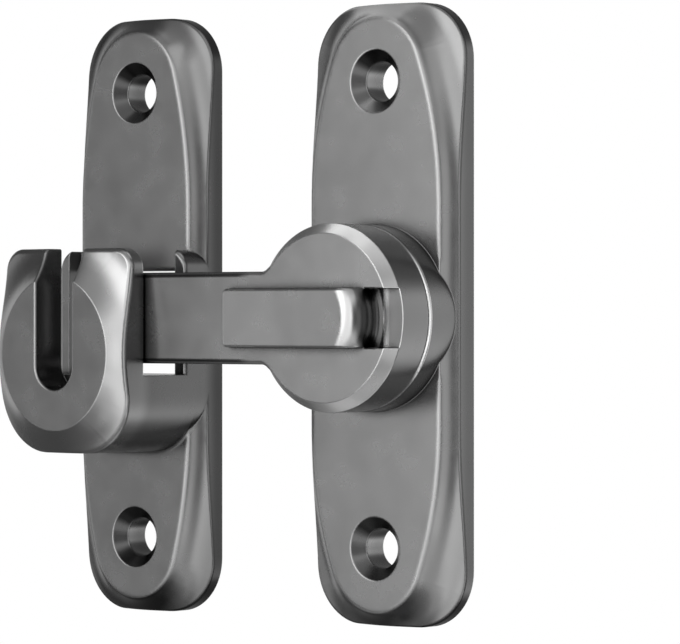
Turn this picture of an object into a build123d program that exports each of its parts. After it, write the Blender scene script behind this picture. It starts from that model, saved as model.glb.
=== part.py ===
from build123d import *
import os
from math import atan2, cos, degrees, pi, radians, sin

# A flip latch in two halves, both screwed to a flat wall, door or frame.
# The right half is a plate with a round boss, on which a lever turns.
# The left half is a plate with a catch, and the lever's arm lies in its open channel.
# X is to the right, Y points into the wall and Z is up. The wall plane is Y = 0.
# The origin is the middle of the latch plate's back. A height is a distance from
# the wall plane towards the viewer. All sizes are in millimetres.

# Plates
plate_height = 100.0
plate_thickness = 6.0
plate_corner_radius = 9.3
latch_plate_width = 31.0
keeper_plate_width = 29.0
plate_centre_distance = 52.8
rim_edge_break = 0.5

# Long flat face of a plate, and the hollow border that falls away from it to the rim
face_side_margin = 2.2
face_end_margin = 2.1
face_end_radius = 9.3
face_straight_length = 36.0
border_run = 6.8
border_drop = 3.85
face_edge_break = 0.35

# Countersunk screw holes
screw_spacing = 75.0
screw_hole_diameter = 6.5
screw_head_diameter = 10.2
screw_head_angle = 90.0
countersink_edge_break = 0.25

# Boss on the latch plate, and the pivot in its middle
boss_diameter = 30.0
boss_rise = 4.5
boss_edge_round = 0.5
pivot_drop = 0.5

# Lever
disc_diameter = 30.0
disc_thickness = 8.35
disc_edge_break = 0.2
disc_chamfer_width = 1.55
disc_chamfer_depth = 1.8
arm_reach = 53.5
arm_height = 14.9
arm_thickness = 7.5
arm_tip_radius = 3.0
arm_root_radius = 2.0
arm_edge_break = 0.7
web_angle = 36.7

# Thumb grip on the lever, and the scoop beside its high end
grip_height = 9.4
grip_reach = 20.0
grip_end_radius = 9.8
grip_low_rise = 1.5
grip_high_rise = 3.5
grip_high_round = 3.1
grip_corner_radius = 0.9
grip_edge_break = 0.45
scoop_drop = 2.2
scoop_rim_drop = 2.0
scoop_fillet = 1.2

# Catch on the keeper plate
catch_top = 11.0
catch_bottom = 22.9
catch_top_radius = 3.5
catch_bottom_radius = 10.0
catch_wall_thickness = 6.2
arm_front_gap = 0.3
arm_back_gap = 2.35
arm_floor_gap = 2.0
ear_width = 2.3
ear_edge_break = 0.7
window_top = 7.4
slot_width = 8.3
slot_below_floor = 2.4
slot_edge_break = 0.35

# Flat oval face of the catch and its hollow border
catch_face_side_margin = 2.5
catch_face_half_height = 12.8
catch_face_end_radius = 11.2
catch_face_drop = 6.4
catch_border_run = 9.4
catch_border_drop = 3.35
catch_edge_break = 0.9

# Pivot hardware in the boss and in the recess at the plate's back
spigot_diameter = 10.0
spigot_clearance = 0.05
spigot_flat_width = 7.5
running_gap = 0.05
recess_diameter = 19.0
recess_depth = 5.0
friction_washer_diameter = 18.0
friction_washer_thickness = 1.0
friction_washer_sunk = 0.8
friction_washer_clearance = 0.2
spring_diameter = 16.8
spring_bore = 10.6
spring_thickness = 0.5
spring_cone = 0.4
retaining_washer_diameter = 16.0
retaining_washer_thickness = 1.0
spigot_end_gap = 0.1
screw_diameter = 4.0
screw_length = 8.0
screw_clearance = 0.05
screw_tip_bevel = 0.5
screw_tip_clearance = 0.5
pivot_screw_head_diameter = 8.0
pivot_screw_head_height = 2.4
drive_length = 4.4
drive_width = 1.0
drive_depth = 1.5

# Stop lug under the disc and its groove in the boss, for the lever's half turn
lever_travel = 180.0
stop_circle_radius = 11.8
stop_lug_diameter = 2.2
stop_lug_sunk = 1.2
stop_clearance = 0.3

# Cutting tools reach this far past what they cut
cut_margin = 1.0

# Heights and places that follow from the sizes above
boss_height = plate_thickness + boss_rise
disc_back = boss_height + friction_washer_thickness - friction_washer_sunk + running_gap
lever_front = disc_back + disc_thickness
disc_face_radius = disc_diameter / 2 - disc_chamfer_width
arm_back = lever_front - arm_thickness
catch_wall_back = lever_front + arm_front_gap
catch_front = catch_wall_back + catch_wall_thickness
ear_front = arm_back - arm_back_gap
channel_floor = -pivot_drop - arm_height / 2 - arm_floor_gap
ear_inside = keeper_plate_width / 2 - ear_width
spring_top = recess_depth - running_gap
washer_front = spring_top - spring_thickness - spring_cone
washer_back = washer_front - retaining_washer_thickness

# Planes that face the viewer, with their x axis along X and their y axis along Z
latch_wall = Plane.XZ
keeper_wall = Plane(origin=(-plate_centre_distance, 0, 0), x_dir=(1, 0, 0), z_dir=(0, -1, 0))
pivot_wall = Plane(origin=(0, 0, -pivot_drop), x_dir=(1, 0, 0), z_dir=(0, -1, 0))

# Section plane through the pivot: x is the radius and y is the height
pivot_section = Plane(origin=(0, 0, -pivot_drop), x_dir=(1, 0, 0), z_dir=(0, 0, -1))
pivot_axis = Axis(origin=(0, 0, -pivot_drop), direction=(0, 1, 0))


def oval_outline(half_width, half_height, end_radius, straight_length):
    """Closed oval: long side arcs, with a straight between them if any, and round ends, all tangent."""
    half_straight = straight_length / 2
    rise = half_height - end_radius - half_straight
    side_radius = (half_width**2 + rise**2 - end_radius**2) / (2 * (half_width - end_radius))
    turn = degrees(atan2(rise, side_radius - half_width))
    arcs = [(side_radius, turn), (end_radius, 180 - 2 * turn), (side_radius, turn)]
    corner = Vector(half_width, -half_straight)
    heading = Vector(0, 1)
    with BuildLine() as outline:
        for _ in range(2):
            if straight_length:
                edge = Line(corner, corner + heading * straight_length)
                corner = edge @ 1
            for radius, angle in arcs:
                edge = JernArc(start=corner, tangent=heading, radius=radius, arc_size=angle)
                corner, heading = edge @ 1, edge % 1
    return outline.wires()[0]


def hollow_border(face_plane, outline, run, drop):
    """Tool that cuts a hollow border round an oval face: steep at the face, flat at its foot."""
    path = face_plane.from_local_coords(outline)
    section = Plane(origin=path @ 0, x_dir=(path % 0).cross(face_plane.z_dir), z_dir=path % 0)
    radius = (run**2 + drop**2) / (2 * drop)
    middle_angle = (atan2(radius - drop, run) + pi / 2) / 2
    middle = (run - radius * cos(middle_angle), drop - radius + radius * sin(middle_angle))
    with BuildPart() as tool:
        with BuildSketch(section):
            with BuildLine():
                ThreePointArc((0, 0), middle, (run, drop))
                Polyline((run, drop), (2 * run, drop), (2 * run, -cut_margin), (0, -cut_margin), (0, 0))
            make_face()
        sweep(path=path)
    return tool.part


def edges_at(block, height):
    """Edges of a block that lie at one height above the wall plane."""
    return block.edges().filter_by(lambda edge: abs(edge.center().Y + height) < 0.001)


def border_rim_edges(block, foot_height):
    """Edges where the hollow border meets the upright sides of a block."""
    sides = block.faces().filter_by(lambda face: abs(face.normal_at().Y) < 0.001)
    edges = sides.edges().filter_by(Axis.Y, reverse=True)
    return edges.filter_by(lambda edge: edge.center().Y < -foot_height / 2)


def plate_blank(plane, width):
    """Plate with a long flat face, a hollow border, an upright rim and two screw holes."""
    outline = oval_outline(
        width / 2 - face_side_margin,
        plate_height / 2 - face_end_margin,
        face_end_radius,
        face_straight_length,
    )
    face_plane = plane.offset(plate_thickness)
    border = hollow_border(face_plane, outline, border_run, border_drop)
    with BuildPart() as blank:
        with BuildSketch(plane):
            RectangleRounded(width, plate_height, plate_corner_radius)
        extrude(amount=plate_thickness)
        add(border, mode=Mode.SUBTRACT)
        fillet(edges_at(blank, plate_thickness), face_edge_break)
        fillet(border_rim_edges(blank, plate_thickness - border_drop), rim_edge_break)
        with Locations(face_plane):
            with GridLocations(0, screw_spacing, 1, 2):
                CounterSinkHole(
                    radius=screw_hole_diameter / 2,
                    counter_sink_radius=screw_head_diameter / 2,
                    depth=plate_thickness,
                    counter_sink_angle=screw_head_angle,
                )
        hole_edges = edges_at(blank, plate_thickness).filter_by(lambda edge: edge.is_closed)
        fillet(hole_edges.filter_by(GeomType.CIRCLE), countersink_edge_break)
    return blank.part


# Catch of the keeper plate: a block with a flat oval face and a hollow border
catch_face = Plane(
    origin=(-plate_centre_distance, -catch_front, -catch_face_drop), x_dir=(1, 0, 0), z_dir=(0, -1, 0)
)
catch_oval = oval_outline(
    keeper_plate_width / 2 - catch_face_side_margin, catch_face_half_height, catch_face_end_radius, 0
)
catch_border = hollow_border(catch_face, catch_oval, catch_border_run, catch_border_drop)
with BuildPart() as catch:
    with BuildSketch(keeper_wall) as catch_outline:
        with Locations((0, -catch_bottom)):
            Rectangle(keeper_plate_width, catch_top + catch_bottom, align=(Align.CENTER, Align.MIN))
        fillet(catch_outline.vertices().group_by(Axis.Y)[-1], catch_top_radius)
        fillet(catch_outline.vertices().group_by(Axis.Y)[0], catch_bottom_radius)
    extrude(amount=catch_front)
    add(catch_border, mode=Mode.SUBTRACT)
    fillet(border_rim_edges(catch, catch_front), catch_edge_break)

# Keeper plate: plate and catch in one casting, then the channel, the window and the slot
keeper_blank = plate_blank(keeper_wall, keeper_plate_width)
with BuildPart() as keeper_plate:
    add(keeper_blank)
    add(catch.part)
    # Channel for the arm: open to the left, to the right and upwards
    with BuildSketch(keeper_wall.offset(ear_front)):
        with Locations((0, channel_floor)):
            Rectangle(
                keeper_plate_width + 2 * cut_margin,
                catch_top - channel_floor + cut_margin,
                align=(Align.CENTER, Align.MIN),
            )
    extrude(amount=catch_wall_back - ear_front, mode=Mode.SUBTRACT)
    # Hollow between the two ears, down to the plate's face
    with BuildSketch(keeper_wall.offset(plate_thickness)):
        with Locations((0, channel_floor)):
            Rectangle(2 * ear_inside, catch_top - channel_floor + cut_margin, align=(Align.CENTER, Align.MIN))
    extrude(amount=ear_front - plate_thickness + cut_margin, mode=Mode.SUBTRACT)
    # Window through the plate behind the arm
    with BuildSketch(keeper_wall):
        with Locations((0, channel_floor)):
            Rectangle(2 * ear_inside, window_top - channel_floor, align=(Align.CENTER, Align.MIN))
    extrude(amount=plate_thickness, mode=Mode.SUBTRACT)
    # U slot in the front wall, open at the top
    with BuildSketch(keeper_wall.offset(catch_wall_back)):
        with Locations((0, channel_floor - slot_below_floor + slot_width / 2)):
            Circle(slot_width / 2)
            Rectangle(slot_width, catch_top + catch_bottom, align=(Align.CENTER, Align.MIN))
    extrude(amount=catch_wall_thickness, mode=Mode.SUBTRACT)
    slot_edges = keeper_plate.edges().filter_by(Axis.Y, reverse=True).filter_by(
        lambda edge: edge.center().Y < -catch_wall_back - slot_edge_break
        and edge.center().Z > channel_floor - slot_below_floor - slot_edge_break
        and abs(edge.center().X + plate_centre_distance) < slot_width / 2 + slot_edge_break
    )
    fillet(slot_edges, slot_edge_break)
    # Rounded front edges of the two ears, on their outer sides and at their top corners
    ear_edges = edges_at(keeper_plate, ear_front).filter_by(
        lambda edge: abs(edge.center().X + plate_centre_distance) > ear_inside + ear_edge_break / 2
    )
    ear_edges = ear_edges.filter_by(lambda edge: edge.center().Z > channel_floor + ear_edge_break / 2)
    fillet(ear_edges, ear_edge_break)

# Latch plate: plate and boss in one casting, with the bore, its recesses and the stop groove
latch_blank = plate_blank(latch_wall, latch_plate_width)
stop_path = CenterArc((0, 0), stop_circle_radius, start_angle=270 - lever_travel, arc_size=lever_travel)
with BuildPart() as latch_plate:
    add(latch_blank)
    with BuildSketch(pivot_wall):
        Circle(boss_diameter / 2)
    extrude(amount=boss_height)
    fillet(edges_at(latch_plate, boss_height), boss_edge_round)
    # Recess for the friction washer and groove for the stop lug
    with BuildSketch(pivot_wall.offset(boss_height - friction_washer_sunk)):
        Circle(friction_washer_diameter / 2 + friction_washer_clearance)
    extrude(amount=friction_washer_sunk, mode=Mode.SUBTRACT)
    with BuildSketch(pivot_wall.offset(boss_height - stop_lug_sunk - stop_clearance)):
        SlotArc(stop_path, height=stop_lug_diameter + 2 * stop_clearance)
    extrude(amount=stop_lug_sunk + stop_clearance, mode=Mode.SUBTRACT)
    # Bore for the spigot and recess for the spring, washer and screw at the back
    with BuildSketch(pivot_wall):
        Circle(spigot_diameter / 2 + spigot_clearance)
    extrude(amount=boss_height, mode=Mode.SUBTRACT)
    with BuildSketch(pivot_wall):
        Circle(recess_diameter / 2)
    extrude(amount=recess_depth, mode=Mode.SUBTRACT)

# Arm of the lever, with the web that widens it into the disc
web_rise = disc_face_radius * cos(radians(web_angle))
web_x = -disc_face_radius * sin(radians(web_angle))
web_root_x = web_x - (web_rise - arm_height / 2) * cos(radians(web_angle)) / sin(radians(web_angle))
with BuildPart() as arm:
    with BuildSketch(pivot_wall.offset(arm_back)) as arm_outline:
        with Locations((-arm_reach, 0)):
            Rectangle(arm_reach + web_x, arm_height, align=(Align.MIN, Align.CENTER))
        Polygon(
            (web_root_x, arm_height / 2),
            (web_root_x, -arm_height / 2),
            (web_x, -web_rise),
            (web_x, web_rise),
            align=None,
        )
        fillet(arm_outline.vertices().group_by(Axis.X)[0], arm_tip_radius)
        root = arm_outline.vertices().filter_by(lambda corner: abs(corner.X - web_root_x) < 0.001)
        fillet(root, arm_root_radius)
    extrude(amount=arm_thickness)
    outer_edges = edges_at(arm, lever_front).filter_by(lambda edge: edge.center().X < web_x - 0.001)
    fillet(outer_edges, arm_edge_break)

# Thumb grip: a low wedge, which runs past its high end until the scoop cuts it to length
grip_slope = (grip_high_rise - grip_low_rise) / (grip_reach + grip_end_radius)
with BuildPart() as grip:
    with BuildSketch(pivot_section):
        with BuildLine():
            Polyline(
                (-grip_reach, lever_front - cut_margin),
                (-grip_reach, lever_front + grip_low_rise),
                (grip_end_radius + cut_margin, lever_front + grip_high_rise + cut_margin * grip_slope),
                (grip_end_radius + cut_margin, lever_front - cut_margin),
                close=True,
            )
        make_face()
    extrude(amount=grip_height / 2, both=True)
    fillet(grip.edges().filter_by(Axis.Y).group_by(Axis.X)[0], grip_corner_radius)

# Scoop beside the grip's high end: it lets a finger in behind the grip and runs out at the disc's side
with BuildPart() as scoop:
    with BuildSketch(pivot_section) as scoop_section:
        with BuildLine():
            Polyline(
                (grip_end_radius, lever_front + 2 * grip_high_rise),
                (grip_end_radius, lever_front - scoop_drop),
                (disc_diameter / 2, lever_front - scoop_rim_drop),
                (disc_diameter / 2 + cut_margin, lever_front - scoop_rim_drop),
                (disc_diameter / 2 + cut_margin, lever_front + 2 * grip_high_rise),
                close=True,
            )
        make_face()
        fillet(scoop_section.vertices().group_by(Axis.X)[0].sort_by(Axis.Y)[0], scoop_fillet)
    revolve(axis=pivot_axis)
    with BuildSketch(pivot_wall):
        Rectangle(disc_diameter, grip_height, align=(Align.MIN, Align.CENTER))
    extrude(amount=2 * lever_front, mode=Mode.INTERSECT)

# Lever: disc, spigot, arm, grip and stop lug in one casting
with BuildPart() as lever:
    with BuildSketch(pivot_section):
        with BuildLine():
            Polyline(
                (0, washer_front),
                (spigot_diameter / 2, washer_front),
                (spigot_diameter / 2, disc_back),
                (disc_diameter / 2 - disc_edge_break, disc_back),
                (disc_diameter / 2, disc_back + disc_edge_break),
                (disc_diameter / 2, lever_front - disc_chamfer_depth),
                (disc_face_radius, lever_front),
                (0, lever_front),
                close=True,
            )
        make_face()
    revolve(axis=pivot_axis)
    add(arm.part)
    add(grip.part)
    add(scoop.part, mode=Mode.SUBTRACT)
    nose_round = min(grip_high_round, 0.9 * grip_high_rise)
    fillet(lever.faces().sort_by(Axis.Y)[0].edges().sort_by(Axis.X)[-1], nose_round)
    grip_top = lever.faces().filter_by(GeomType.PLANE).sort_by(Axis.Y)[0]
    fillet(grip_top.edges().sort_by(Axis.X)[:-1], grip_edge_break)
    # Double D end of the spigot, which turns the retaining washer
    with BuildSketch(pivot_wall.offset(washer_back + spigot_end_gap)):
        Circle(spigot_diameter / 2)
        Rectangle(spigot_flat_width, spigot_diameter, mode=Mode.INTERSECT)
    extrude(amount=retaining_washer_thickness - spigot_end_gap)
    # Stop lug, which hangs below the pivot while the lever is latched
    with BuildSketch(pivot_wall.offset(boss_height - stop_lug_sunk)):
        with Locations((0, -stop_circle_radius)):
            Circle(stop_lug_diameter / 2)
    extrude(amount=disc_back - boss_height + stop_lug_sunk)
    # Tapped hole for the pivot screw
    with BuildSketch(pivot_wall.offset(washer_back)):
        Circle(screw_diameter / 2 + screw_clearance)
    extrude(amount=screw_length + screw_tip_clearance, mode=Mode.SUBTRACT)

# Nylon washer between boss and disc
with BuildPart() as friction_washer:
    with BuildSketch(pivot_wall.offset(boss_height - friction_washer_sunk)):
        Circle(friction_washer_diameter / 2)
        Circle(spigot_diameter / 2 + friction_washer_clearance, mode=Mode.SUBTRACT)
    extrude(amount=friction_washer_thickness)

# Conical spring between the recess floor and the retaining washer
with BuildPart() as disc_spring:
    with BuildSketch(pivot_section):
        with BuildLine():
            Polyline(
                (spring_bore / 2, washer_front),
                (spring_diameter / 2, washer_front + spring_cone),
                (spring_diameter / 2, washer_front + spring_cone + spring_thickness),
                (spring_bore / 2, washer_front + spring_thickness),
                close=True,
            )
        make_face()
    revolve(axis=pivot_axis)

# Retaining washer with a double D hole
with BuildPart() as retaining_washer:
    with BuildSketch(pivot_wall.offset(washer_back)):
        Circle(retaining_washer_diameter / 2)
        with BuildSketch(mode=Mode.PRIVATE) as washer_hole:
            Circle(spigot_diameter / 2 + spigot_clearance)
            Rectangle(
                spigot_flat_width + 2 * spigot_clearance,
                spigot_diameter + 2 * spigot_clearance,
                mode=Mode.INTERSECT,
            )
        add(washer_hole.sketch, mode=Mode.SUBTRACT)
    extrude(amount=retaining_washer_thickness)

# Pivot screw with a domed head and a cross recess
with BuildPart() as pivot_screw:
    with BuildSketch(pivot_section):
        with BuildLine():
            head_edge = (pivot_screw_head_diameter / 2, washer_back - pivot_screw_head_height / 2)
            head_top = (0, washer_back - pivot_screw_head_height)
            TangentArc(head_top, head_edge, tangent=(1, 0))
            Polyline(
                head_top,
                (0, washer_back + screw_length),
                (screw_diameter / 2 - screw_tip_bevel, washer_back + screw_length),
                (screw_diameter / 2, washer_back + screw_length - screw_tip_bevel),
                (screw_diameter / 2, washer_back),
                (pivot_screw_head_diameter / 2, washer_back),
                head_edge,
            )
        make_face()
    revolve(axis=pivot_axis)
    with BuildSketch(pivot_wall.offset(washer_back - pivot_screw_head_height)):
        Rectangle(drive_length, drive_width)
        Rectangle(drive_width, drive_length)
    extrude(amount=drive_depth, mode=Mode.SUBTRACT)

os.makedirs("parts", exist_ok=True)
keeper_plate.part.label = "keeper_plate"
export_step(keeper_plate.part, "parts/keeper_plate.step")
latch_plate.part.label = "latch_plate"
export_step(latch_plate.part, "parts/latch_plate.step")
lever.part.label = "lever"
export_step(lever.part, "parts/lever.step")
friction_washer.part.label = "friction_washer"
export_step(friction_washer.part, "parts/friction_washer.step")
disc_spring.part.label = "disc_spring"
export_step(disc_spring.part, "parts/disc_spring.step")
retaining_washer.part.label = "retaining_washer"
export_step(retaining_washer.part, "parts/retaining_washer.step")
pivot_screw.part.label = "pivot_screw"
export_step(pivot_screw.part, "parts/pivot_screw.step")
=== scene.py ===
from math import pi, radians

import bpy
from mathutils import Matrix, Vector


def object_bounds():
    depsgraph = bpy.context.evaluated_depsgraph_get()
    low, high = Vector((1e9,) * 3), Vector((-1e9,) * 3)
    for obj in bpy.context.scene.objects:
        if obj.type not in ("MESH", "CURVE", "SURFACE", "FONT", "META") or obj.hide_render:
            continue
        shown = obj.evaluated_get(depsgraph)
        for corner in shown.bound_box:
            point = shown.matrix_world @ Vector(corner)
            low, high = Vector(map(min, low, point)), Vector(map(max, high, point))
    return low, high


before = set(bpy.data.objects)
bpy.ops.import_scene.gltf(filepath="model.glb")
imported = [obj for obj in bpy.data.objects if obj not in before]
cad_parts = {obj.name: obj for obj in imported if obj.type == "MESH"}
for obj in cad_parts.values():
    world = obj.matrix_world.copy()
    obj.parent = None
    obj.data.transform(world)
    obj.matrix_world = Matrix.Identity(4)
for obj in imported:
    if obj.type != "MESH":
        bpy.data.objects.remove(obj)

cad_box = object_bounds()

MM = 0.001

# Places on the body, as X and Z of the frame
SCREW_Z = 37.5 * MM
KEEPER_X = -52.8 * MM
PIVOT_X = 0.0
PIVOT_Z = -0.5 * MM

# Softness of the cast edges
SMALL_EDGE = 0.3 * MM
CREASE_EDGE = 1.1 * MM

# Cosine between the rounded and the true normal where the edge mark, partly rubbed wear and partly
# painted highlight, starts and where it is full
EDGE_MARK_START = 0.985
EDGE_MARK_FULL = 0.86

# Painted light and shade on the plates: shares by which the tone rises for painted highlights, or
# falls for painted shade
LATCH_WALL_SHADE = -0.36
KEEPER_WALL_SHADE = -0.5
LATCH_FALLOFF_LIGHT = 0.02
KEEPER_FALLOFF_SHADE = -0.11
CONE_SHADE = -0.4
BORE_HIGHLIGHT = 0.9
SLOT_SHADE = -0.55
SLOPE_HIGHLIGHT = 0.45
BOSS_RIM_HIGHLIGHT = 3.5
UNDERSIDE_SHADE = -0.75
KEEPER_LEFT_SHADE = -0.7

# Painted light and shade on the lever, in the same shares
CHAMFER_HIGHLIGHT_MIDDLE = 0.7
CHAMFER_HIGHLIGHT_ENDS = 2.2
GRIP_HIGHLIGHT = 0.5
SCOOP_HIGHLIGHT_INSIDE = 2.5
SCOOP_HIGHLIGHT_RIM = 0.35
DISC_LIGHT_GRADIENT = 0.35
ARM_TIP_HIGHLIGHT = 0.4
FOOT_SHADE = -0.6
ARM_EDGE_SHADE = -1.0

# No painted shade takes more of the tone than this
MOST_PAINTED_SHADE = -0.85


class Graph:
    """Short calls that build one node tree."""

    def __init__(self, tree):
        tree.nodes.clear()
        self.tree = tree

    def node(self, kind, settings=None, **inputs):
        """New node: settings are its own properties, inputs its sockets, as values or as links."""
        made = self.tree.nodes.new(kind)
        for key, value in (settings or {}).items():
            setattr(made, key, value)
        for key, value in inputs.items():
            self.plug(made.inputs[key.replace("_", " ")], value)
        return made

    def plug(self, socket, value):
        """Links an output socket to an input, or sets the input's value."""
        if isinstance(value, bpy.types.NodeSocket):
            self.tree.links.new(value, socket)
        else:
            socket.default_value = value

    def plug_in_order(self, made, values):
        """Fills a node's inputs from the first on."""
        for socket, value in zip(made.inputs, values):
            self.plug(socket, value)

    def math(self, operation, *values):
        """One Math node, given as its operation and its inputs in order."""
        made = self.node("ShaderNodeMath", {"operation": operation})
        self.plug_in_order(made, values)
        return made.outputs[0]

    def chain(self, operation, values):
        """One operation of two inputs, carried through all values."""
        result = values[0]
        for value in values[1:]:
            result = self.math(operation, result, value)
        return result

    def product(self, *values):
        """All values multiplied."""
        return self.chain("MULTIPLY", values)

    def total(self, *values):
        """All values added up."""
        return self.chain("ADD", values)

    def apart(self, value, centre):
        """How far a value is from a centre, to either side."""
        return self.math("ABSOLUTE", self.math("SUBTRACT", value, centre))

    def ramp(self, value, low, high, start=0.0, end=1.0):
        """Value between low and high, eased from start to end and held there beyond them."""
        made = self.node("ShaderNodeMapRange", {"interpolation_type": "SMOOTHSTEP"})
        self.plug_in_order(made, (value, low, high, start, end))
        return made.outputs[0]

    def band(self, value, start, low, high, end):
        """1 between low and high, eased to 0 at start and at end."""
        return self.product(self.ramp(value, start, low), self.ramp(value, end, high))

    def noise(self, where, size, detail=2.0, roughness=0.5):
        """Soft noise from 0 to 1, whose lumps are about size metres apart."""
        made = self.node(
            "ShaderNodeTexNoise", Vector=where, Scale=1 / size, Detail=detail, Roughness=roughness
        )
        return made.outputs["Fac"]

    def mix(self, factor, first, second):
        """Colour between two colours."""
        made = self.node("ShaderNodeMix", {"data_type": "RGBA"})
        self.plug(made.inputs["Factor"], factor)
        self.plug(made.inputs[6], first)
        self.plug(made.inputs[7], second)
        return made.outputs[2]

    def dot(self, first, second):
        """Dot product of two vectors."""
        made = self.node("ShaderNodeVectorMath", {"operation": "DOT_PRODUCT"})
        self.plug_in_order(made, (first, second))
        return made.outputs["Value"]

    def split(self, vector):
        """X, Y and Z of a vector."""
        parts = self.node("ShaderNodeSeparateXYZ", Vector=vector).outputs
        return parts["X"], parts["Y"], parts["Z"]

    def place(self):
        """Position on the object."""
        return self.node("ShaderNodeTexCoord").outputs["Object"]

    def normal(self):
        """True normal of the face."""
        return self.node("ShaderNodeNewGeometry").outputs["Normal"]


def new_material(name):
    """Empty node material and its graph."""
    material = bpy.data.materials.new(name)
    material.use_nodes = True
    return material, Graph(material.node_tree)


def grey(level):
    """Opaque neutral colour of one linear level."""
    return (level, level, level * 1.01, 1.0)


# Places and directions on the body
def body_place(graph):
    """Position on the body in metres: X, height above the wall, and Z."""
    x, y, z = graph.split(graph.place())
    return x, graph.math("MULTIPLY", y, -1.0), z


def facing(graph):
    """How far a face looks to the right, to the front and up, each from -1 to 1."""
    right, back, up = graph.split(graph.normal())
    return right, graph.math("MULTIPLY", back, -1.0), up


def distance_from(graph, x, z, centre_x, centre_z):
    """Distance from an axis that stands square on the wall."""
    across = graph.math("POWER", graph.math("SUBTRACT", x, centre_x), 2.0)
    up = graph.math("POWER", graph.math("SUBTRACT", z, centre_z), 2.0)
    return graph.math("POWER", graph.math("ADD", across, up), 0.5)


# Finishes
def hollow_shade(graph, reach, darkest):
    """Painted shade in hollows: 1 on open faces, down to darkest where faces close in within reach.
    """
    open_share = graph.node("ShaderNodeAmbientOcclusion", {"samples": 8}, Distance=reach)
    return graph.ramp(open_share.outputs["AO"], 0.35, 0.88, darkest, 1.0)


def edge_wear_and_highlight_mask(graph, rounded):
    """Edge mark of rubbed wear and painted highlight: 1 on convex and concave edges, where the
    rounded normal leaves the true one, else 0.
    """
    return graph.ramp(graph.dot(rounded, graph.normal()), EDGE_MARK_START, EDGE_MARK_FULL)


def edge_radius(graph):
    """Softness of the cast edges, wider along the creases of the plates than elsewhere."""
    x, height, z = body_place(graph)
    crease = graph.band(height, 5.2 * MM, 5.5 * MM, 6.3 * MM, 6.6 * MM)
    from_screw_z = graph.apart(graph.math("ABSOLUTE", z), SCREW_Z)
    from_screw_x = graph.math("MINIMUM", graph.math("ABSOLUTE", x), graph.apart(x, KEEPER_X))
    off_screws = graph.math(
        "MAXIMUM",
        graph.ramp(from_screw_z, 5.0 * MM, 6.5 * MM),
        graph.ramp(from_screw_x, 6.0 * MM, 8.0 * MM),
    )
    from_pivot = distance_from(graph, x, z, PIVOT_X, PIVOT_Z)
    off_boss = graph.ramp(from_pivot, 15.8 * MM, 16.6 * MM)
    crease = graph.product(crease, off_screws, off_boss)
    return graph.ramp(crease, 0.0, 1.0, SMALL_EDGE, CREASE_EDGE)


def die_cast_metal(name, level, roughness, painted_light_share):
    """Satin plated zinc: fine grain, faint smears, painted shade in hollows, and edges lighter
    partly from rubbing and partly as a painted highlight.

    The last argument, given the graph, returns the share by which painted highlights and painted
    shade change the tone."""
    material, graph = new_material(name)
    where = graph.place()
    clouds = graph.noise(where, 18 * MM)
    smears = graph.noise(where, 5 * MM, 3.0, 0.55)
    grain = graph.noise(where, 0.18 * MM)
    bevel = graph.node("ShaderNodeBevel", {"samples": 8}, Radius=edge_radius(graph))
    rounded = bevel.outputs["Normal"]
    patchy = graph.ramp(smears, 0.35, 0.62, 0.5, 1.0)
    # Edges lighter, partly from rubbing and partly as a painted highlight, on convex and concave
    # edges alike
    worn_highlit_edges = graph.product(edge_wear_and_highlight_mask(graph, rounded), patchy)
    # Tone with the painted edge highlight, painted shade in hollows, and the painted light and
    # shade of the last argument
    tone = graph.product(
        graph.ramp(clouds, 0.3, 0.7, 0.97, 1.03),
        level,
        graph.total(1.0, worn_highlit_edges),
        hollow_shade(graph, 2.5 * MM, 0.2),
        graph.total(1.0, painted_light_share(graph)),
    )
    colour = graph.node("ShaderNodeCombineColor", Red=tone, Green=tone, Blue=tone)
    dull = graph.ramp(smears, 0.25, 0.75, roughness - 0.015, roughness + 0.02)
    rough = graph.math("SUBTRACT", dull, graph.product(worn_highlit_edges, 0.03))
    bump = graph.node(
        "ShaderNodeBump", Strength=0.015, Distance=0.01 * MM, Height=grain, Normal=rounded
    )
    surface = graph.node(
        "ShaderNodeBsdfPrincipled",
        Base_Color=colour.outputs[0],
        Metallic=1.0,
        Roughness=rough,
        Normal=bump.outputs["Normal"],
    )
    graph.node("ShaderNodeOutputMaterial", Surface=surface.outputs[0])
    return material


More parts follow.
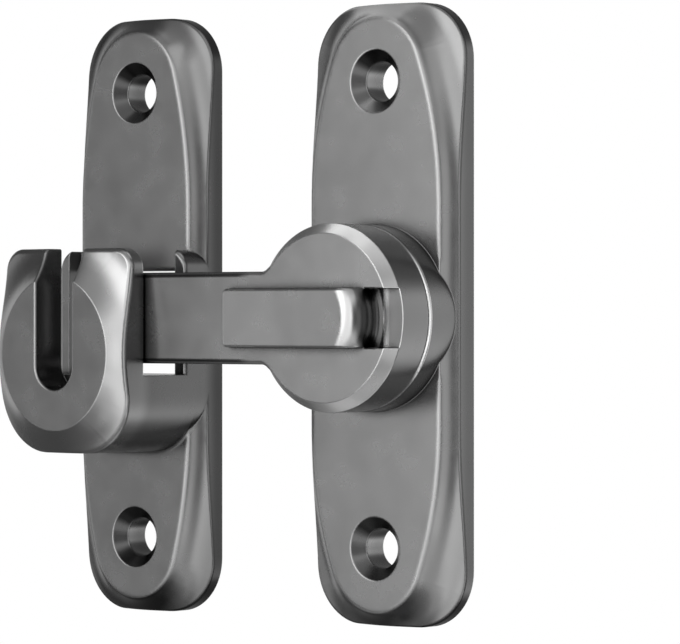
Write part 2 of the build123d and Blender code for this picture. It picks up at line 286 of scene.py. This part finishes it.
def plates_painted_light_and_shade(graph):
    """Painted shade near the wall, in the screw cones, in the catch's slot, under the borders and
    on the keeper's left borders; painted highlights in the screw bores, on the catch's right slope
    and on the boss's front rim; the keeper painted darker than the latch.
    """
    x, height, z = body_place(graph)
    right, front, up = facing(graph)
    outside = graph.ramp(front, -0.6, -0.2)
    keeper = graph.ramp(x, -26 * MM, -36 * MM)
    # Painted light falling off to the left: the latch a little lighter, the keeper painted darker
    falloff_tone = graph.ramp(keeper, 0.0, 1.0, LATCH_FALLOFF_LIGHT, KEEPER_FALLOFF_SHADE)

    # Painted shade towards the wall
    at_wall = graph.ramp(keeper, 0.0, 1.0, LATCH_WALL_SHADE, KEEPER_WALL_SHADE)
    wall_shade = graph.product(outside, graph.ramp(height, 1.2 * MM, 4.8 * MM, at_wall, 0.0))

    # Painted shade in the cones and painted highlight in the bores of the screw holes
    screw_side = graph.math("ABSOLUTE", z)
    from_screw = graph.math(
        "MINIMUM",
        distance_from(graph, x, screw_side, PIVOT_X, SCREW_Z),
        distance_from(graph, x, screw_side, KEEPER_X, SCREW_Z),
    )
    cone = graph.ramp(from_screw, 5.2 * MM, 5.0 * MM, 0.0, CONE_SHADE)
    bore = graph.ramp(from_screw, 3.4 * MM, 3.3 * MM, 0.0, BORE_HIGHLIGHT)
    hole = graph.product(graph.total(cone, bore), outside)

    # Painted shade in the catch's slot, and painted highlight on the slope on its right
    slot = graph.product(
        graph.ramp(graph.apart(x, KEEPER_X), 4.3 * MM, 4.0 * MM),
        graph.ramp(front, 0.8, 0.5),
        graph.ramp(height, 15 * MM, 17 * MM, 0.0, SLOT_SHADE),
    )
    slope = graph.product(
        graph.ramp(front, 0.995, 0.975),
        graph.ramp(height, 17 * MM, 20 * MM),
        graph.ramp(x, -54 * MM, -45 * MM, 0.0, SLOPE_HIGHLIGHT),
    )

    # Painted highlight on the boss's front rim, to the left and right of the pivot
    boss = graph.product(
        graph.ramp(distance_from(graph, x, z, PIVOT_X, PIVOT_Z), 15.6 * MM, 15.2 * MM),
        graph.ramp(height, 9.85 * MM, 9.98 * MM, 0.0, BOSS_RIM_HIGHLIGHT),
        graph.ramp(graph.math("ABSOLUTE", z), 11 * MM, 7 * MM),
    )

    # Painted shade on borders of the plates that look down, and on those of the keeper that look
    # left
    low = graph.ramp(height, 6.4 * MM, 6.1 * MM)
    under = graph.product(low, graph.ramp(up, -0.3, -0.66, 0.0, UNDERSIDE_SHADE))
    left = graph.product(low, keeper, graph.ramp(right, -0.15, -0.4), KEEPER_LEFT_SHADE)

    # All painted highlights and painted shade of the plates together
    painted_tone = graph.total(wall_shade, hole, falloff_tone, slot, slope, boss, under, left)
    return graph.math("MAXIMUM", painted_tone, MOST_PAINTED_SHADE)


def lever_painted_light_and_shade(graph):
    """Painted highlights on the chamfer, grip, scoop, disc and arm tip, and painted shade at the
    foot of the grip's high end and along the arm's long edges.
    """
    x, height, z = body_place(graph)
    front = facing(graph)[1]
    aside = graph.apart(z, PIVOT_Z)

    # Painted highlight on the disc's chamfer, brighter above and below than beside the grip
    chamfer = graph.product(
        graph.band(front, 0.3, 0.45, 0.85, 0.95),
        graph.ramp(distance_from(graph, x, z, PIVOT_X, PIVOT_Z), 13.40 * MM, 13.46 * MM),
        graph.ramp(height, 16.9 * MM, 17.2 * MM),
        graph.ramp(aside, 5.5 * MM, 11 * MM, CHAMFER_HIGHLIGHT_MIDDLE, CHAMFER_HIGHLIGHT_ENDS),
    )
    # Painted highlights on the grip, in the scoop, growing towards the disc, and at the arm's tip
    grip = graph.ramp(height, 19.3 * MM, 20.2 * MM, 0.0, GRIP_HIGHLIGHT)
    scoop = graph.product(
        graph.ramp(x, 9.5 * MM, 11 * MM),
        graph.ramp(front, 0.9, 0.98),
        graph.ramp(height, 17.3 * MM, 17.0 * MM),
        graph.ramp(x, 11.5 * MM, 12.3 * MM, SCOOP_HIGHLIGHT_INSIDE, SCOOP_HIGHLIGHT_RIM),
    )
    disc = graph.ramp(x, -40 * MM, -8 * MM, 0.0, DISC_LIGHT_GRADIENT)
    tip = graph.ramp(x, -38 * MM, -44 * MM, 0.0, ARM_TIP_HIGHLIGHT)
    painted_highlights = graph.total(chamfer, grip, scoop, disc, tip)

    # Painted shade at the foot of the grip's high end, and along the arm's two long edges
    foot = graph.product(
        graph.band(x, 8.3 * MM, 9.1 * MM, 10.75 * MM, 11.05 * MM),
        graph.ramp(aside, 4.95 * MM, 4.8 * MM),
        graph.ramp(height, 16.5 * MM, 16.8 * MM),
    )
    arm_edge = graph.product(
        graph.ramp(aside, 6.45 * MM, 6.75 * MM), graph.ramp(x, -15 * MM, -18 * MM)
    )
    painted_tone = graph.total(graph.product(foot, FOOT_SHADE), graph.product(arm_edge, ARM_EDGE_SHADE))
    painted_highlights = graph.product(painted_highlights, graph.math("SUBTRACT", 1.0, foot))
    return graph.math("MAXIMUM", graph.total(painted_highlights, painted_tone), MOST_PAINTED_SHADE)


def plated_steel(name, level, roughness, tint):
    """Bright plated or hardened steel with fine turning marks round the pivot."""
    material, graph = new_material(name)
    where = graph.place()
    rings = graph.node(
        "ShaderNodeTexWave",
        {"wave_type": "RINGS", "rings_direction": "Y"},
        Vector=where,
        Scale=0.6 / MM,
        Distortion=0.4,
        Detail=2.0,
    )
    smears = graph.noise(where, 1.6 * MM, 3.0)
    light = (level * tint[0], level * tint[1], level * tint[2], 1.0)
    dark = tuple(0.8 * part for part in light[:3]) + (1.0,)
    bump = graph.node(
        "ShaderNodeBump", Strength=0.15, Distance=0.01 * MM, Height=rings.outputs["Fac"]
    )
    surface = graph.node(
        "ShaderNodeBsdfPrincipled",
        Base_Color=graph.mix(graph.ramp(smears, 0.3, 0.7), dark, light),
        Metallic=1.0,
        Roughness=graph.ramp(smears, 0.2, 0.8, roughness - 0.05, roughness + 0.08),
        Normal=bump.outputs["Normal"],
    )
    graph.node("ShaderNodeOutputMaterial", Surface=surface.outputs[0])
    return material


def natural_nylon(name):
    """Milky moulded nylon."""
    material, graph = new_material(name)
    where = graph.place()
    clouds = graph.noise(where, 2.5 * MM)
    grain = graph.noise(where, 0.2 * MM)
    bump = graph.node("ShaderNodeBump", Strength=0.2, Distance=0.01 * MM, Height=grain)
    surface = graph.node(
        "ShaderNodeBsdfPrincipled",
        Base_Color=graph.mix(clouds, (0.78, 0.76, 0.70, 1.0), (0.86, 0.85, 0.80, 1.0)),
        Roughness=graph.ramp(clouds, 0.2, 0.8, 0.38, 0.5),
        Normal=bump.outputs["Normal"],
    )
    graph.node("ShaderNodeOutputMaterial", Surface=surface.outputs[0])
    return material


def finish(node, material):
    """Gives one CAD piece its material."""
    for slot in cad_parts[node].material_slots:
        slot.link = "OBJECT"
        slot.material = material


PLATES_LEVEL = 0.178
LEVER_LEVEL = 0.158
CAST_ROUGHNESS = 0.26
SPRING_TINT = (1.0, 0.98, 0.95)
ZINC_TINT = (1.0, 0.99, 0.96)

plates_metal = die_cast_metal("die_cast_plates", PLATES_LEVEL, CAST_ROUGHNESS, plates_painted_light_and_shade)
lever_metal = die_cast_metal("die_cast_lever", LEVER_LEVEL, CAST_ROUGHNESS, lever_painted_light_and_shade)
finish("keeper_plate", plates_metal)
finish("latch_plate", plates_metal)
finish("lever", lever_metal)
finish("friction_washer", natural_nylon("nylon"))
finish("disc_spring", plated_steel("spring_steel", 0.35, 0.3, SPRING_TINT))
finish("retaining_washer", plated_steel("plated_washer", 0.62, 0.26, ZINC_TINT))
finish("pivot_screw", plated_steel("plated_screw", 0.62, 0.24, ZINC_TINT))

# Floor: a pale disc far below the part
FLOOR_DROP = 0.35
FLOOR_HALF_SIZE = 0.14
FLOOR_FADE_START = 0.55
FLOOR_LEVEL = 0.8
FLOOR_LEVEL_SEEN = 0.98
FLOOR_SIDES = 96


def pale_floor(name, half_size):
    """White floor that fades out towards its rim."""
    material, graph = new_material(name)
    distance = graph.node("ShaderNodeVectorMath", {"operation": "LENGTH"})
    graph.plug(distance.inputs[0], graph.place())
    fade = graph.ramp(distance.outputs["Value"], FLOOR_FADE_START * half_size, half_size)
    path = graph.node("ShaderNodeLightPath")
    seen = graph.math("MAXIMUM", path.outputs["Is Camera Ray"], path.outputs["Is Glossy Ray"])
    seen = graph.math("MAXIMUM", seen, path.outputs["Is Transmission Ray"])
    level = graph.mix(seen, grey(FLOOR_LEVEL), grey(FLOOR_LEVEL_SEEN))
    matt = graph.node("ShaderNodeBsdfDiffuse", Color=level)
    clear = graph.node("ShaderNodeBsdfTransparent")
    blend = graph.node("ShaderNodeMixShader")
    graph.plug_in_order(blend, (fade, matt.outputs[0], clear.outputs[0]))
    graph.node("ShaderNodeOutputMaterial", Surface=blend.outputs[0])
    return material


floor_height = cad_box[0][2] - FLOOR_DROP
bpy.ops.mesh.primitive_circle_add(
    vertices=FLOOR_SIDES, radius=FLOOR_HALF_SIZE, fill_type="NGON", location=(0, 0, floor_height)
)
floor = bpy.context.object
floor.name = "floor"
floor.data.materials.append(pale_floor("floor", FLOOR_HALF_SIZE))

# Studio light: panels on a sky of directions, each as azimuth from the front towards +X,
# elevation, half width, half height and softness in degrees, and strength
PANELS = [
    (-25, 0, 8, 4, 5, 2.3),
    (-19, 17, 12, 10, 5, 1.9),
    (-1, 0, 32, 22, 6, 1.7),
    (-1, -1, 20, 9, 20, 0.7),
    (27, 2, 5, 9, 5, 0.9),
    (51, 28, 46, 3, 8, 0.8),
    (35, -30, 43, 9, 5, 1.1),
    (70, -4, 12, 18, 7, 1.3),
    (112, 0, 14, 16, 8, 0.45),
    (-29, 91, 43, 14, 8, 0.75),
    (15, 49, 46, 28, 8, 0.7),
    (160, -6, 14, 20, 14, 1.25),
    (-71, -2, 12, 8, 6, 1.1),
    (-54, 0, 3, 12, 4, 0.7),
    (-102, 6, 8, 18, 6, 0.8),
    (50, -69, 63, 19, 14, 0.3),
]

# Plain light of the sky between the panels, from AMBIENT_REACH degrees below the horizon to as
# far above it
AMBIENT_LOW = 0.26
AMBIENT_HIGH = 0.20
AMBIENT_REACH = 60

# Cosine of the angle from the backdrop's middle to where it is full and to where it has faded
BACKDROP_NARROW = 0.995
BACKDROP_WIDE = 0.965


def studio_sky(backdrop_direction):
    """World of light panels. The camera sees plain white, and so does metal, behind the object."""
    world = bpy.data.worlds.new("studio")
    world.use_nodes = True
    graph = Graph(world.node_tree)
    direction = graph.node("ShaderNodeTexCoord").outputs["Generated"]
    x, y, z = graph.split(direction)
    azimuth = graph.math("ARCTAN2", x, graph.math("MULTIPLY", y, -1.0))
    elevation = graph.math("ARCSINE", z)
    reach = radians(AMBIENT_REACH)
    total = graph.ramp(elevation, -reach, reach, AMBIENT_LOW, AMBIENT_HIGH)
    for panel_azimuth, panel_elevation, half_width, half_height, softness, strength in PANELS:
        across = graph.math("SUBTRACT", azimuth, radians(panel_azimuth))
        across = graph.math("ABSOLUTE", graph.math("WRAP", across, pi, -pi))
        up = graph.apart(elevation, radians(panel_elevation))
        near = graph.ramp(across, radians(half_width + softness), radians(half_width))
        level = graph.ramp(up, radians(half_height + softness), radians(half_height))
        total = graph.total(total, graph.product(near, level, strength))
    behind = graph.dot(direction, backdrop_direction)
    backdrop = graph.ramp(behind, BACKDROP_WIDE, BACKDROP_NARROW)
    path = graph.node("ShaderNodeLightPath")
    seen = graph.math("MAXIMUM", path.outputs["Is Camera Ray"], path.outputs["Is Transmission Ray"])
    seen = graph.math("MAXIMUM", seen, graph.product(path.outputs["Is Glossy Ray"], backdrop))
    strength = graph.node("ShaderNodeMix")
    graph.plug(strength.inputs[0], seen)
    graph.plug(strength.inputs[2], total)
    graph.plug(strength.inputs[3], 1.0)
    sky = graph.node("ShaderNodeBackground", Color=(1, 1, 1, 1), Strength=strength.outputs[0])
    graph.node("ShaderNodeOutputWorld", Surface=sky.outputs[0])
    bpy.context.scene.world = world


# Lamps close to the object: place in metres, the point each faces, width, height and radiance
LAMPS = [
    ("above", (-0.019, -0.009, 0.065), (-0.020, -0.010, 0.0), 0.040, 0.031, 1.33),
    ("below", (0.080, -0.013, -0.108), (-0.020, -0.010, 0.0), 0.034, 0.043, 1.62),
    ("under", (-0.022, -0.021, -0.070), (-0.004, -0.0185, -0.013), 0.040, 0.020, 0.45),
]


def place_lamp(name, place, target, width, height, radiance):
    """Rectangular lamp of one radiance, hidden from the camera."""
    data = bpy.data.lights.new(name, "AREA")
    data.shape = "RECTANGLE"
    data.size = width
    data.size_y = height
    data.energy = radiance * pi * width * height
    lamp = bpy.data.objects.new(name, data)
    lamp.location = place
    lamp.rotation_euler = (Vector(target) - Vector(place)).to_track_quat("-Z", "Z").to_euler()
    lamp.visible_camera = False
    bpy.context.scene.collection.objects.link(lamp)


for lamp in LAMPS:
    place_lamp(*lamp)

# Camera: level, to the right of the front, with the horizon a little above the picture's middle
CAMERA_AZIMUTH = 40.285
CAMERA_DISTANCE = 0.64241
CAMERA_TARGET_X = -0.012422
CAMERA_LENS = 207.98
CAMERA_SENSOR = 36.0
CAMERA_SHIFT = -0.01038
CAMERA_CLIP_START = 0.01

camera_data = bpy.data.cameras.new("camera")
camera_data.lens = CAMERA_LENS
camera_data.sensor_fit = "HORIZONTAL"
camera_data.sensor_width = CAMERA_SENSOR
camera_data.shift_y = CAMERA_SHIFT
camera_data.clip_start = CAMERA_CLIP_START
camera = bpy.data.objects.new("camera", camera_data)
bpy.context.scene.collection.objects.link(camera)
camera.rotation_euler = (radians(90), 0, radians(CAMERA_AZIMUTH))
backwards = camera.rotation_euler.to_matrix() @ Vector((0, 0, 1))
camera.location = Vector((CAMERA_TARGET_X, 0, 0)) + backwards * CAMERA_DISTANCE
bpy.context.scene.camera = camera
studio_sky(-backwards)
bpy.context.scene.view_settings.view_transform = "Standard"
